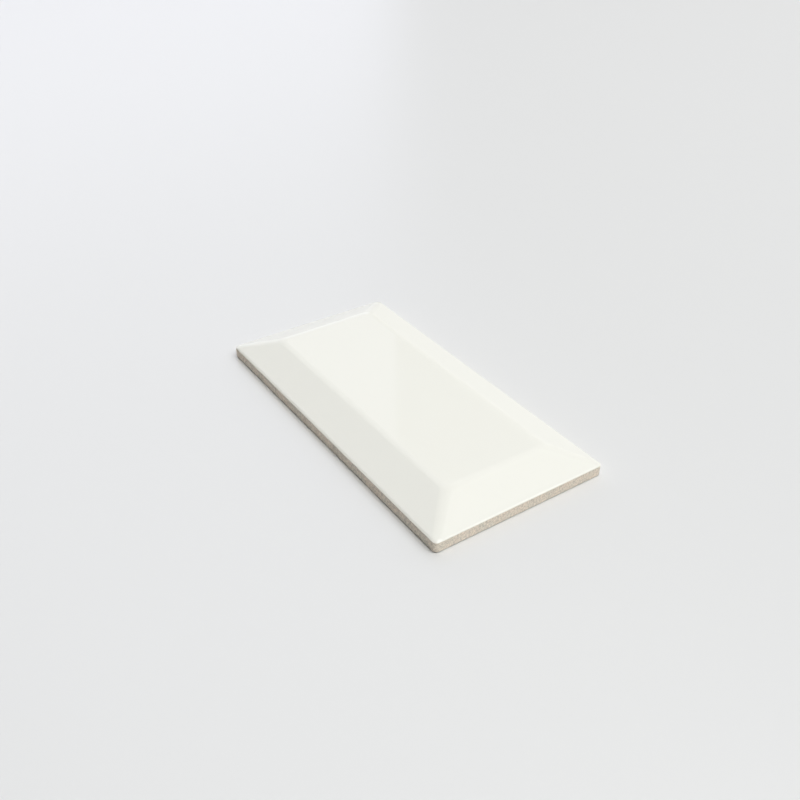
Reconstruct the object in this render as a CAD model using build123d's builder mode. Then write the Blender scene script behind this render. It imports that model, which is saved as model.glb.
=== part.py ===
"""Bevelled wall tile: one dust-pressed, glazed and fired piece of ceramic.

Millimetres. The tile lies flat on its back, glazed face up. The origin is the centre of the
back, on the bedding plane. +X runs along the length, +Y across the width, +Z up.
"""

import os
from math import asin, atan2, cos, degrees, hypot, radians, sin, tan

from build123d import *

# Format, edge to edge over the glaze.
tile_length = 150.0
tile_width = 75.0
tile_thickness = 10.6
corner_radius = 2.0

# Side wall: bare biscuit up to the glaze line. The glaze rolls over from the bevels and ends
# there, a little proud of the biscuit and still leaning back from the upright.
glaze_line_height = 4.45
glaze_overhang = 0.08
rim_radius = 2.4
rim_lean = 42.0
foot_radius = 0.9

# Raised face: four equal bevels climb to a flat field, with soft ridges and hips.
bevel_width = 15.2
crown_radius = 10.0

# Keyed back: a grid of shallow pockets with drafted sides, between narrow lands, that
# gives the adhesive its grip. Even counts put a crossing of two lands at the centre.
key_columns = 10
key_rows = 4
key_border = 5.0
key_land = 2.2
key_depth = 0.6
key_corner_radius = 1.2
key_draft = 30.0

# The rim is an arc through the edge of the tile at the glaze line. Carried on downwards, it
# would reach the upright a little outside the tile.
rim_centre_depth = rim_radius * cos(radians(rim_lean))
rim_centre_height = glaze_line_height - rim_radius * sin(radians(rim_lean))
rim_runout = rim_radius - rim_centre_depth

# The bevels fall from the ridges and touch the arc of the rim.
ridge_run = bevel_width - rim_centre_depth
ridge_rise = tile_thickness - rim_centre_height
bevel_slope = atan2(ridge_rise, ridge_run) - asin(rim_radius / hypot(ridge_run, ridge_rise))
# How far outside the tile the bevel planes would reach the bedding plane.
bevel_runout = tile_thickness / tan(bevel_slope) - bevel_width

# The pockets share out the back between its borders.
key_length = (tile_length - 2 * key_border - (key_columns - 1) * key_land) / key_columns
key_width = (tile_width - 2 * key_border - (key_rows - 1) * key_land) / key_rows


def is_upright(face):
    """A face of the side wall: its normal is level."""
    return abs(face.normal_at().Z) < 0.01


os.makedirs("parts", exist_ok=True)

with BuildPart() as tile:
    # The flat field and the four bevel planes, carried down to the bedding plane.
    with BuildSketch():
        Rectangle(tile_length + 2 * bevel_runout, tile_width + 2 * bevel_runout)
    extrude(amount=tile_thickness, taper=90 - degrees(bevel_slope))

    # The ridges round the field and the hips at its corners are pressed to one soft radius.
    hips = tile.edges().group_by(Axis.Z)[1]
    ridges = tile.edges().group_by(Axis.Z)[-1]
    fillet(hips + ridges, radius=crown_radius)

    # The wall of the die trims the body to its outline, with room for the roll of the rim.
    with BuildSketch():
        RectangleRounded(
            tile_length + 2 * rim_runout,
            tile_width + 2 * rim_runout,
            corner_radius + rim_runout,
        )
    extrude(amount=tile_thickness, mode=Mode.INTERSECT)

    # Round the rim, where the glaze rolls over from the bevels to the side wall.
    side_wall = tile.faces().filter_by(is_upright)
    rim = side_wall.edges().filter_by_position(Axis.Z, glaze_line_height, tile_thickness)
    fillet(rim, radius=rim_radius)

    # Below the glaze line the bare biscuit stands back from the edge of the glaze.
    with BuildSketch():
        Rectangle(tile_length + 2 * rim_runout, tile_width + 2 * rim_runout)
        RectangleRounded(
            tile_length - 2 * glaze_overhang,
            tile_width - 2 * glaze_overhang,
            corner_radius - glaze_overhang,
            mode=Mode.SUBTRACT,
        )
    extrude(amount=glaze_line_height, mode=Mode.SUBTRACT)

    # The lower edge of the biscuit is fettled round.
    back = tile.faces().sort_by(Axis.Z)[0]
    fillet(back.edges(), radius=foot_radius)

    # Pockets of the keyed back.
    with BuildSketch():
        with GridLocations(key_length + key_land, key_width + key_land, key_columns, key_rows):
            RectangleRounded(key_length, key_width, key_corner_radius)
    extrude(amount=key_depth, taper=key_draft, mode=Mode.SUBTRACT)

tile.part.label = "tile"
export_step(tile.part, "parts/tile.step")
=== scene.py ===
"""Bevelled wall tile, dressed for its photograph. Metres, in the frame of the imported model."""

from math import asin, atan2, cos, hypot, radians, sin, tan

import bmesh
import bpy
from mathutils import Matrix, Vector


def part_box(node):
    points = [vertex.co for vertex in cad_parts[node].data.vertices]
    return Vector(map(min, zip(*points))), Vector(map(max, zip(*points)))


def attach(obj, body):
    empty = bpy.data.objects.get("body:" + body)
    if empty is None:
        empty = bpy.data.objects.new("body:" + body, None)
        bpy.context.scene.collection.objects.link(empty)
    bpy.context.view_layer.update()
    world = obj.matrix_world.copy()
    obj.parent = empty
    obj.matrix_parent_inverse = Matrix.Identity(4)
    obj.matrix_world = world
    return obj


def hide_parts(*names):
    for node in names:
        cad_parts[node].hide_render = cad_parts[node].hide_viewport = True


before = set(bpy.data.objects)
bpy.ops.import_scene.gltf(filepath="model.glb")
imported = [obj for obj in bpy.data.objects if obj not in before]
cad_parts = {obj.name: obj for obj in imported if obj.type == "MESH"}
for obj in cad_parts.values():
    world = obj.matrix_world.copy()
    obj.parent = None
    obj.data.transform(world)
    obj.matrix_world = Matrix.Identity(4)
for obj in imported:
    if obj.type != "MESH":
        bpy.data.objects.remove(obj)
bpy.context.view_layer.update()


# The pressed body. A bevelled wall tile is one piece of fine clay powder, pressed in a steel
# die, glazed and fired. Its side wall is bare, pale biscuit, square to the back, with rounded
# corners and a fettled lower edge.
low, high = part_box("tile")
tile_length = high.x - low.x
tile_width = high.y - low.y
tile_thickness = high.z - low.z
corner_rounding = 0.002
corner_steps = 8
glaze_line_height = 0.00445
glaze_overhang = 0.00008
biscuit_rounding = corner_rounding - glaze_overhang
foot_rounding = 0.0009
foot_steps = 6
# Places closer than a hair count as the same.
hair = 1e-6


def pick(kind, test):
    """Selects the points, edges or faces of the mesh in edit mode that pass the test."""
    bpy.ops.mesh.select_mode(type=kind)
    bpy.ops.mesh.select_all(action="DESELECT")
    mesh = bmesh.from_edit_mesh(bpy.context.object.data)
    items = {"VERT": mesh.verts, "EDGE": mesh.edges, "FACE": mesh.faces}[kind]
    for item in items:
        if test(item):
            item.select_set(True)
    bmesh.update_edit_mesh(bpy.context.object.data)


def at_height(edge, height):
    """The edge lies level at this height."""
    return all(abs(point.co.z - height) < hair for point in edge.verts)


def span(edge):
    """The edge's extent along X, Y and Z."""
    along = edge.verts[1].co - edge.verts[0].co
    return Vector([abs(part) for part in along])


bpy.ops.object.select_all(action="DESELECT")
bpy.ops.mesh.primitive_cube_add(
    size=1,
    location=(0, 0, glaze_line_height / 2),
    scale=(tile_length - 2 * glaze_overhang, tile_width - 2 * glaze_overhang, glaze_line_height),
)
tile = bpy.context.object
tile.name = "glazed_tile"
bpy.ops.object.transform_apply(location=True, rotation=True, scale=True)
bpy.ops.object.mode_set(mode="EDIT")
pick("EDGE", lambda edge: span(edge).z > hair)
bpy.ops.mesh.bevel(offset=biscuit_rounding, segments=corner_steps, affect="EDGES")
pick("EDGE", lambda edge: at_height(edge, 0))
bpy.ops.mesh.bevel(offset=foot_rounding, segments=foot_steps, affect="EDGES")


# The keyed back. The lower die leaves a grid of shallow pockets between narrow lands, which
# give the adhesive its grip. The pockets have drafted sides and soft edges, so that the
# pressing lets go of the die.
key_columns = 10
key_rows = 4
key_border = 0.005
key_land = 0.0022
key_depth = 0.0006
key_draft = radians(30)
key_corner_rounding = 0.0012
key_corner_steps = 3
back_rounding = biscuit_rounding - foot_rounding
grid_half_length = tile_length / 2 - key_border + key_land / 2
grid_half_width = tile_width / 2 - key_border + key_land / 2
grid_inset = key_border - key_land / 2 - glaze_overhang - foot_rounding - back_rounding


def is_back(face):
    """The level face that closes the body at the back."""
    return face.normal.z < -0.9 and face.calc_area() > tile_length * tile_width / 2


def in_grid(item):
    """The edge or face lies within the outline of the grid of pockets, on the back."""
    return all(
        abs(point.co.x) < grid_half_length + hair
        and abs(point.co.y) < grid_half_width + hair
        and point.co.z < key_depth + hair
        for point in item.verts
    )


# A first inset shrinks each rounded corner to a point, and what falls together is merged.
pick("FACE", is_back)
bpy.ops.mesh.inset(thickness=back_rounding)
bpy.ops.mesh.remove_doubles(threshold=back_rounding / 4)
pick("FACE", is_back)
bpy.ops.mesh.inset(thickness=grid_inset)
pick("EDGE", lambda edge: in_grid(edge) and span(edge).x > grid_half_length)
bpy.ops.mesh.subdivide(number_cuts=key_columns - 1)
pick("EDGE", lambda edge: in_grid(edge) and span(edge).y > grid_half_width)
bpy.ops.mesh.subdivide(number_cuts=key_rows - 1)
pick("FACE", in_grid)
bpy.ops.mesh.inset(thickness=key_land / 2, use_individual=True)
bpy.ops.mesh.inset(thickness=key_depth * tan(key_draft), depth=-key_depth, use_individual=True)
pick("EDGE", lambda edge: in_grid(edge) and span(edge).z > hair)
bpy.ops.mesh.bevel(offset=key_corner_rounding, segments=key_corner_steps, affect="EDGES")


# The raised face. The upper die forms a flat field and four equal bevels, and the glaze lies
# over them as a skin of opaque white glass. It softens the ridges round the field and the
# hips between the bevels, and rolls over the rim down to the glaze line.
bevel_width = 0.0152
ridge_setback = 0.00178
ridge_steps = 10
rim_radius = 0.0024
rim_lean = radians(42)
rim_steps = 8
rim_centre_depth = rim_radius * cos(rim_lean)
rim_centre_height = glaze_line_height - rim_radius * sin(rim_lean)
# The bevels fall from the ridges and touch the arc of the rim.
ridge_run = bevel_width - rim_centre_depth
ridge_rise = tile_thickness - rim_centre_height
bevel_slope = atan2(ridge_rise, ridge_run) - asin(rim_radius / hypot(ridge_run, ridge_rise))
rim_sweep = radians(90) - bevel_slope - rim_lean
# The hips widen as they climb: from the outline's small corners over the shoulder, where the
# rim meets the bevels, to the corners of the field.
shoulder_rounding = 0.0028
hip_rounding = 0.0036
field_rounding = hip_rounding - ridge_setback


def is_top(face):
    """The level face that closes the body at the top."""
    return face.normal.z > 0.99 and face.calc_area() > tile_length * tile_width / 4


def draw_up(rise, inset, rounding):
    """Draws the top face up and in, and gives its four corners a new rounding."""
    bpy.ops.mesh.extrude_region_move(TRANSFORM_OT_translate={"value": (0, 0, rise)})
    mesh = bmesh.from_edit_mesh(tile.data)
    top = [point.co.copy() for point in mesh.verts if point.select]
    half_length = max(place.x for place in top)
    half_width = max(place.y for place in top)
    straight_end = max(place.x for place in top if place.y > half_width - hair)
    growth = rounding / (half_length - straight_end)
    shift = inset + rounding - (half_length - straight_end)
    for side_x, side_y in ((1, 1), (-1, 1), (-1, -1), (1, -1)):
        pick(
            "VERT",
            lambda point: point.co.x * side_x > 0
            and point.co.y * side_y > 0
            and any(is_top(face) for face in point.link_faces),
        )
        bpy.ops.transform.translate(value=(-side_x * shift, -side_y * shift, 0))
        centre_x = side_x * (half_length - inset - rounding)
        centre_y = side_y * (half_width - inset - rounding)
        bpy.ops.transform.resize(
            value=(growth, growth, 1), center_override=(centre_x, centre_y, top[0].z)
        )
    pick("FACE", is_top)


# The skin starts as a narrow ledge outside the bare wall. The roundings of its corners grow
# fastest at the glaze line, and run into those of the hips without a crease.
pick("FACE", is_top)
draw_up(0, -glaze_overhang, corner_rounding)
depth = 0
height = glaze_line_height
for step in range(1, rim_steps + 1):
    lean = rim_lean + rim_sweep * step / rim_steps
    next_depth = rim_centre_depth - rim_radius * cos(lean)
    next_height = rim_centre_height + rim_radius * sin(lean)
    growth = 1 - (1 - step / rim_steps) ** 2
    rounding = corner_rounding + (shoulder_rounding - corner_rounding) * growth
    draw_up(next_height - height, next_depth - depth, rounding)
    depth = next_depth
    height = next_height
draw_up(tile_thickness - height, bevel_width - depth, hip_rounding)
pick("EDGE", lambda edge: at_height(edge, tile_thickness))
bpy.ops.mesh.bevel(offset=ridge_setback, segments=ridge_steps, affect="EDGES")
pick("FACE", is_top)
bpy.ops.mesh.inset(thickness=field_rounding)
bpy.ops.mesh.remove_doubles(threshold=field_rounding / 3)

# The lower edge of the glaze is drawn round by the fire.
lip_setback = 0.00008
lip_steps = 2


def touches_wall(edge):
    """The edge borders the bare wall below the glaze line."""
    return any(face.calc_center_median().z < glaze_line_height - hair for face in edge.link_faces)


def is_lip(edge):
    """An edge of the glaze's outline at the glaze line, outside the bare wall."""
    outside = any(face.normal.z > -0.5 for face in edge.link_faces)
    return at_height(edge, glaze_line_height) and outside and not touches_wall(edge)


pick("EDGE", is_lip)
bpy.ops.mesh.bevel(offset=lip_setback, segments=lip_steps, affect="EDGES")

# Cuts across the long faces keep them evenly divided, so that the skin can follow fine forms.
cuts_along = 59
cuts_across = 29
slope_cuts = 5
wall_cuts = 3
wall_height = glaze_line_height - foot_rounding


def is_drawn(edge):
    """The edge belongs to the walls or the raised face, and not to the back."""
    return all(point.co.z > hair for point in edge.verts) and not in_grid(edge)


pick("EDGE", lambda edge: is_drawn(edge) and span(edge).x > tile_length / 2)
bpy.ops.mesh.subdivide(number_cuts=cuts_along)
pick("EDGE", lambda edge: is_drawn(edge) and span(edge).y > tile_width / 2)
bpy.ops.mesh.subdivide(number_cuts=cuts_across)
pick("EDGE", lambda edge: abs(span(edge).z - wall_height) < wall_height / 20)
bpy.ops.mesh.subdivide(number_cuts=wall_cuts)
pick("EDGE", lambda edge: span(edge).z > wall_height)
bpy.ops.mesh.subdivide(number_cuts=slope_cuts)

# Soft edges round the mouths and the floors of the pockets in the back.
key_edge_rounding = 0.00012
key_edge_steps = 2


def is_pocket_edge(edge):
    """An edge round the mouth or the floor of a pocket in the back."""
    if not in_grid(edge) or len(edge.link_faces) != 2:
        return False
    first, second = edge.link_faces
    return abs(first.normal.z - second.normal.z) > 0.05


pick("EDGE", is_pocket_edge)
bpy.ops.mesh.bevel(offset=key_edge_rounding, segments=key_edge_steps, affect="EDGES")
bpy.ops.object.mode_set(mode="OBJECT")

# Edges that turn more than this stay crisp.
crisp_angle = radians(50)
bpy.ops.object.shade_smooth_by_angle(angle=crisp_angle)
weights = tile.modifiers.new("even_normals", "WEIGHTED_NORMAL")
weights.keep_sharp = True
bpy.ops.object.modifier_apply(modifier=weights.name)


# The glaze. Opaque white glass, warm in tone, fused to the face in the kiln, with a bright,
# almost even gloss and a faint ripple. Just above the glaze line it is drawn thin, and the
# biscuit shows through.
class Wire:
    """A socket in a material. Arithmetic on it adds Math nodes, and add() makes any other node."""

    def __init__(self, tree, socket=None):
        self.tree = tree
        self.socket = socket

    def add(self, kind, settings, sockets, output=0):
        """A new node of this kind, with its settings and sockets: returns one of its outputs."""
        node = self.tree.nodes.new(kind)
        for name, value in settings.items():
            setattr(node, name, value)
        for name, value in sockets.items():
            if isinstance(value, Wire):
                self.tree.links.new(value.socket, node.inputs[name])
            else:
                node.inputs[name].default_value = value
        return Wire(self.tree, node.outputs[output])

    def mix(self, share, first, second):
        """The first colour where the share is nothing, and the second where it is one."""
        settings = {"data_type": "RGBA"}
        return self.add("ShaderNodeMix", settings, {0: share, 6: first, 7: second}, output=2)

    def feed(self, socket):
        """Connects it to a socket of the material's shader."""
        self.tree.links.new(self.socket, self.tree.nodes["Principled BSDF"].inputs[socket])

    def math(self, operation, first, second):
        """The two numbers worked out by a Math node."""
        return self.add("ShaderNodeMath", {"operation": operation}, {0: first, 1: second})

    def __add__(self, other):
        return self.math("ADD", self, other)

    def __sub__(self, other):
        return self.math("SUBTRACT", self, other)

    def __mul__(self, other):
        return self.math("MULTIPLY", self, other)

    def __rsub__(self, other):
        return self.math("SUBTRACT", other, self)

    __radd__ = __add__
    __rmul__ = __mul__


def new_finish(name, steady):
    """A new material with these steady values on its shader."""
    finish = bpy.data.materials.new(name)
    finish.use_nodes = True
    shader = finish.node_tree.nodes["Principled BSDF"]
    for socket, value in steady.items():
        shader.inputs[socket].default_value = value
    return finish


warm_white = (0.8135, 0.812, 0.7465, 1)
deeper_white = (0.8055, 0.8045, 0.7395, 1)
clay_through_glaze = (0.72, 0.66, 0.56, 1)
cloud_scale = 60.0
glaze_gloss = 0.02
gloss_change = 0.02
thin_band = 0.0004
thinnest_cover = 0.7
ripple_scale = 150.0
ripple_height = 0.000005
glaze = new_finish("white_glaze", {"IOR": 1.5})
wire = Wire(glaze.node_tree)
place = wire.add("ShaderNodeTexCoord", {}, {}, output="Object")
cloud = wire.add("ShaderNodeTexNoise", {}, {"Vector": place, "Scale": cloud_scale, "Detail": 3.0})
tone = wire.mix(cloud, warm_white, deeper_white)
height = wire.add("ShaderNodeSeparateXYZ", {}, {"Vector": place}, output="Z")
cover = wire.add(
    "ShaderNodeMapRange",
    {"interpolation_type": "SMOOTHSTEP"},
    {
        "Value": height,
        "From Min": glaze_line_height,
        "From Max": glaze_line_height + thin_band,
        "To Min": thinnest_cover,
    },
)
wire.mix(cover, clay_through_glaze, tone).feed("Base Color")
(cloud * gloss_change + glaze_gloss).feed("Roughness")
ripple = wire.add("ShaderNodeTexNoise", {}, {"Vector": place, "Scale": ripple_scale})
relief = wire.add("ShaderNodeBump", {}, {"Distance": ripple_height, "Height": ripple})
relief.feed("Normal")


# The biscuit. Bare fired clay, pale and sandy: warmer and cooler patches a few millimetres wide,
# under a speckle of finer grains that also roughens the surface. It shows on the side wall below
# the glaze line and on the back.
cool_clay = (0.745, 0.69, 0.588, 1)
warm_clay = (0.815, 0.716, 0.598, 1)
patch_scale = 180.0
patch_contrast = 3.3
speckle_scale = 1400.0
speckle_strength = 1.15
grain_scale = 3000.0
grain_height = 0.00004
# A noise swings evenly to both sides of its middle.
noise_middle = 0.5
biscuit = new_finish("pale_biscuit", {"Roughness": 0.85, "IOR": 1.4})
wire = Wire(biscuit.node_tree)
place = wire.add("ShaderNodeTexCoord", {}, {}, output="Object")
patches = wire.add("ShaderNodeTexNoise", {}, {"Vector": place, "Scale": patch_scale})
warmth = (patches - noise_middle) * patch_contrast + noise_middle
tone = wire.mix(warmth, cool_clay, warm_clay)
speckle = wire.add(
    "ShaderNodeTexNoise", {}, {"Vector": place, "Scale": speckle_scale, "Detail": 4.0}
)
shade = (speckle - noise_middle) * speckle_strength + 1
colour = wire.add("ShaderNodeVectorMath", {"operation": "SCALE"}, {"Vector": tone, "Scale": shade})
colour.feed("Base Color")
grain = wire.add("ShaderNodeTexNoise", {}, {"Vector": place, "Scale": grain_scale, "Detail": 3.0})
relief = wire.add("ShaderNodeBump", {}, {"Distance": grain_height, "Height": speckle + grain})
relief.feed("Normal")

tile.data.materials.clear()
tile.data.materials.append(glaze)
tile.data.materials.append(biscuit)
for face in tile.data.polygons:
    face.material_index = int(face.center.z < glaze_line_height - hair)
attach(tile, "root")
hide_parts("tile")


# The floor: a wide sheet of pale paper with a slight sheen, which takes a soft reflection of
# the lights. The tile lies on it.
floor_reach = 9.0


def stage_panel(name, centre, across, upward, finish):
    """A flat panel of the stage, from its centre and its two half sides."""
    corners = [
        centre - across - upward,
        centre + across - upward,
        centre + across + upward,
        centre - across + upward,
    ]
    mesh = bpy.data.meshes.new(name)
    mesh.from_pydata(corners, [], [(0, 1, 2, 3)])
    mesh.materials.append(finish)
    panel = bpy.data.objects.new(name, mesh)
    bpy.context.scene.collection.objects.link(panel)
    return panel


paper = new_finish(
    "white_paper", {"Base Color": (0.714, 0.720, 0.713, 1), "Roughness": 0.34, "IOR": 1.8}
)
floor_along = Vector((floor_reach, 0, 0))
floor_across = Vector((0, floor_reach, 0))
stage_panel("floor", Vector((0, 0, 0)), floor_along, floor_across, paper)


# The lights: a square tent of glowing cloth round the tile. One upright corner stands almost
# straight ahead of the camera, and the gloss of the field shows it as a soft upright edge. What
# is left open stays dark.
scene = bpy.context.scene
scene.view_settings.view_transform = "Standard"
camera_azimuth = radians(56.06)
tent_turn = radians(0.3)
tent_azimuth = camera_azimuth + tent_turn
tent_reach = 6.0
tent_height = 6.6
corner_ahead = Vector((-sin(tent_azimuth), cos(tent_azimuth), 0)) * tent_reach
corner_right = Vector((cos(tent_azimuth), sin(tent_azimuth), 0)) * tent_reach
corner_behind = -corner_ahead
corner_left = -corner_right
# Shares of a wall at which the window ends, and the side card gives way to the side box.
window_share = 0.52
card_share = 0.3
window_end = corner_ahead * (1 - window_share) + corner_left * window_share
card_end = corner_right * (1 - card_share) + corner_behind * card_share
# Heights at which one cloth of a wall ends and the next begins.
skirt_height = 0.8
foot_height = 1.8
side_foot = 3.9
band_foot = 4.9
daylight = (0.99, 1.0, 1.1, 1)
lamplight = (1.0, 1.0, 1.0, 1)


def glowing_cloth(name, colour, glow):
    """Cloth of the tent that gives this much light, and reflects none."""
    return new_finish(
        name,
        {
            "Base Color": (0, 0, 0, 1),
            "Roughness": 1.0,
            "Specular IOR Level": 0,
            "Emission Color": colour,
            "Emission Strength": glow,
        },
    )


def upright_panel(name, start, end, foot, top, finish):
    """An upright panel of the tent between two places on the floor."""
    rise = Vector((0, 0, (top - foot) / 2))
    middle = (start + end) / 2 + Vector((0, 0, foot)) + rise
    return stage_panel(name, middle, (end - start) / 2, rise, finish)


# Left of the corner ahead is a window of bluish light, brightest near the floor. Right of it is
# dimmer cloth with a bright band at its top, and then a pair of soft boxes, high along the wall
# at the camera's right. They give the key light together with a large box in the roof.
for name, start, end, foot, top, colour, glow in (
    ("window_skirt", corner_ahead, window_end, 0, skirt_height, daylight, 1.1),
    ("window_foot", corner_ahead, window_end, skirt_height, foot_height, daylight, 1.42),
    ("window", corner_ahead, window_end, foot_height, tent_height, daylight, 0.88),
    ("far_right_foot", corner_ahead, corner_right, 0, foot_height, lamplight, 0.735),
    ("far_right", corner_ahead, corner_right, foot_height, band_foot, lamplight, 0.52),
    ("far_right_top", corner_ahead, corner_right, band_foot, tent_height, lamplight, 1.05),
    ("side_card", corner_right, card_end, side_foot, tent_height, lamplight, 4.6),
    ("side_box", card_end, corner_behind, side_foot, tent_height, lamplight, 5.55),
):
    upright_panel(name, start, end, foot, top, glowing_cloth(name, colour, glow))

# Three panels of the roof. Their limits are in sixths of its width, counted from its middle:
# towards the wall with the soft boxes, and towards the open wall at the camera's left.
roof_middle = Vector((0, 0, tent_height))
to_key = (corner_right + corner_behind) / 6
to_left = (corner_left + corner_behind) / 6
for name, key_from, key_to, left_from, left_to, glow in (
    ("overhead_box", 0, 2, -1.45, 1.95, 5.88),
    ("roof_far", -3, 0, -3, 0.2, 0.745),
    ("roof_card", 0, 3, -3, -1.55, 1.1),
):
    centre = roof_middle + to_key * (key_from + key_to) / 2 + to_left * (left_from + left_to) / 2
    across = to_key * (key_to - key_from) / 2
    upward = to_left * (left_to - left_from) / 2
    stage_panel(name, centre, across, upward, glowing_cloth(name, lamplight, glow))

# Pale paper hangs just inside the tent. Only the camera sees it, behind the tile in low views.
paper_share = 0.97
paper_glow = 0.8
for name, start, end in (
    ("paper_far_left", corner_ahead, corner_left),
    ("paper_far_right", corner_ahead, corner_right),
    ("paper_near_left", corner_behind, corner_left),
    ("paper_near_right", corner_behind, corner_right),
):
    finish = glowing_cloth(name, lamplight, paper_glow)
    panel = upright_panel(name, start * paper_share, end * paper_share, 0, tent_height, finish)
    panel.visible_diffuse = False
    panel.visible_glossy = False
    panel.visible_transmission = False
    panel.visible_shadow = False


# The camera, where the photograph was taken from: its place and angles were fitted to the
# edges and corners of the tile in the picture.
camera_elevation = radians(34.46)
camera_roll = radians(0.07)
camera_distance = 0.3732
camera_right = -0.0007
camera_up = 0.0039
focal_pixels = 928.3
frame_pixels = 800
back = Vector(
    (
        sin(camera_azimuth) * cos(camera_elevation),
        -cos(camera_azimuth) * cos(camera_elevation),
        sin(camera_elevation),
    )
)
right = Vector((cos(camera_azimuth), sin(camera_azimuth), 0))
up = back.cross(right)
camera = bpy.data.cameras.new("camera")
camera.sensor_width = 36
camera.lens = camera.sensor_width * focal_pixels / frame_pixels
camera.clip_start = 0.01
viewer = bpy.data.objects.new("camera", camera)
stand = back * camera_distance + right * camera_right + up * camera_up
across = right * cos(camera_roll) + up * sin(camera_roll)
upright = up * cos(camera_roll) - right * sin(camera_roll)
turn = Matrix((across, upright, back)).transposed().to_4x4()
viewer.matrix_world = Matrix.Translation(stand) @ turn
scene.collection.objects.link(viewer)
scene.camera = viewer
